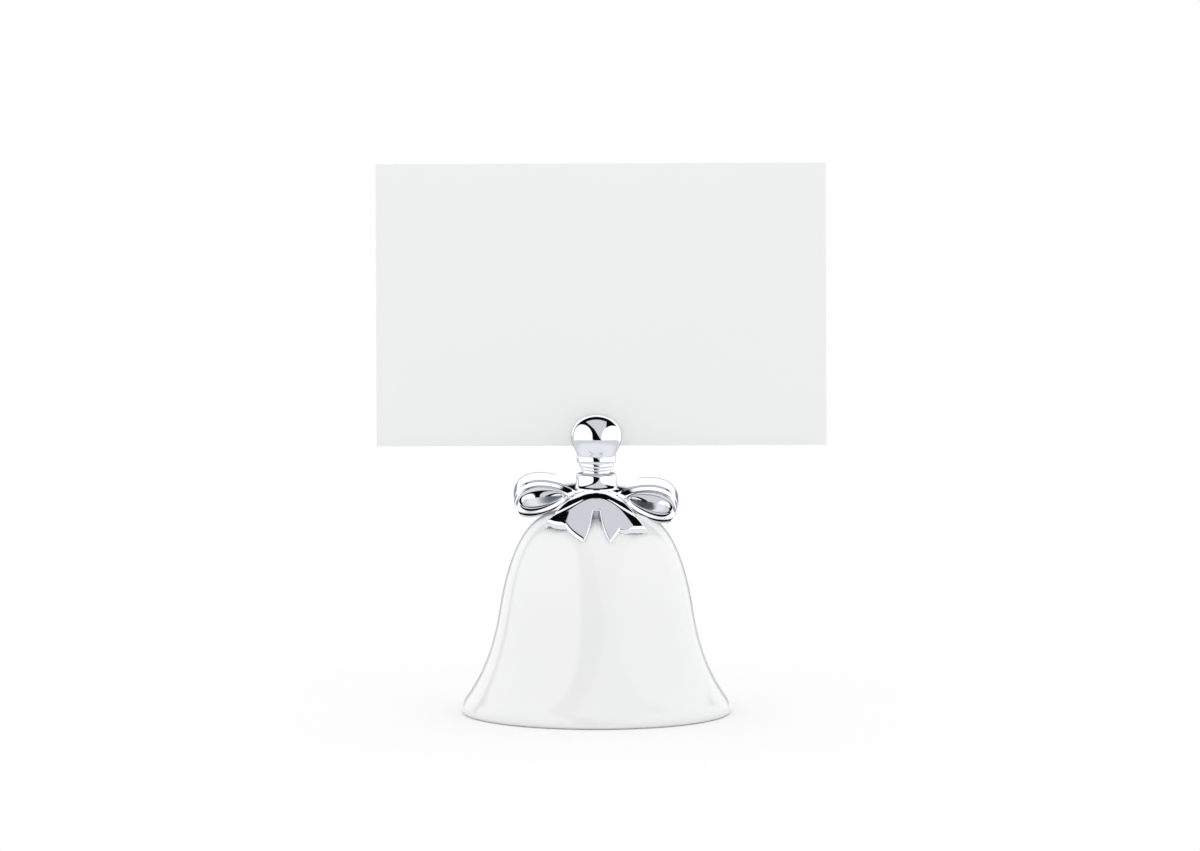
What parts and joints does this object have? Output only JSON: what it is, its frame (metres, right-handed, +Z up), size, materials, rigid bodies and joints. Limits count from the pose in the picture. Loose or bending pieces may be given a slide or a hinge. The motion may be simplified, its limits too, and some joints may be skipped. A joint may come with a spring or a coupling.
{
  "type": "menu card holder",
  "caption": "Small white porcelain bell with a mirror-plated ribbon bow and a slotted ball finial that holds a blank menu or place card upright on the table.",
  "frame": {"origin": "on the bell's axis at the table, at the middle of the foot ring", "axes": "+Z up along the bell's axis, +X to the right along the card's long edge seen from the front, -Y towards the front where the bow's tails hang"},
  "size_m": [0.0856, 0.0512, 0.1054],
  "materials": {
    "porcelain": "white porcelain under a clear gloss glaze",
    "mirror_plating": "polished and mirror plated casting",
    "gasket_rubber": "matt black sheet rubber",
    "fastener_steel": "zinc plated steel",
    "card_board": "matt white card, blank"
  },
  "bodies": {
    "holder": {"bell_shell": "porcelain", "crown_gasket": "gasket_rubber", "bow_tails": "mirror_plating", "bow_loop_left": "mirror_plating", "bow_loop_right": "mirror_plating", "bow_knot": "mirror_plating", "card_finial": "mirror_plating", "clamp_stud": "fastener_steel", "inner_gasket": "gasket_rubber", "clamp_washer": "fastener_steel", "clamp_nut": "fastener_steel"},
    "card": {"menu_card": "card_board"}
  },
  "joints": [
    {"name": "card_lift", "type": "slide", "parent": "holder", "child": "card", "axis": [0, 0, 1], "range_m": [0, 0.008]}
  ]
}
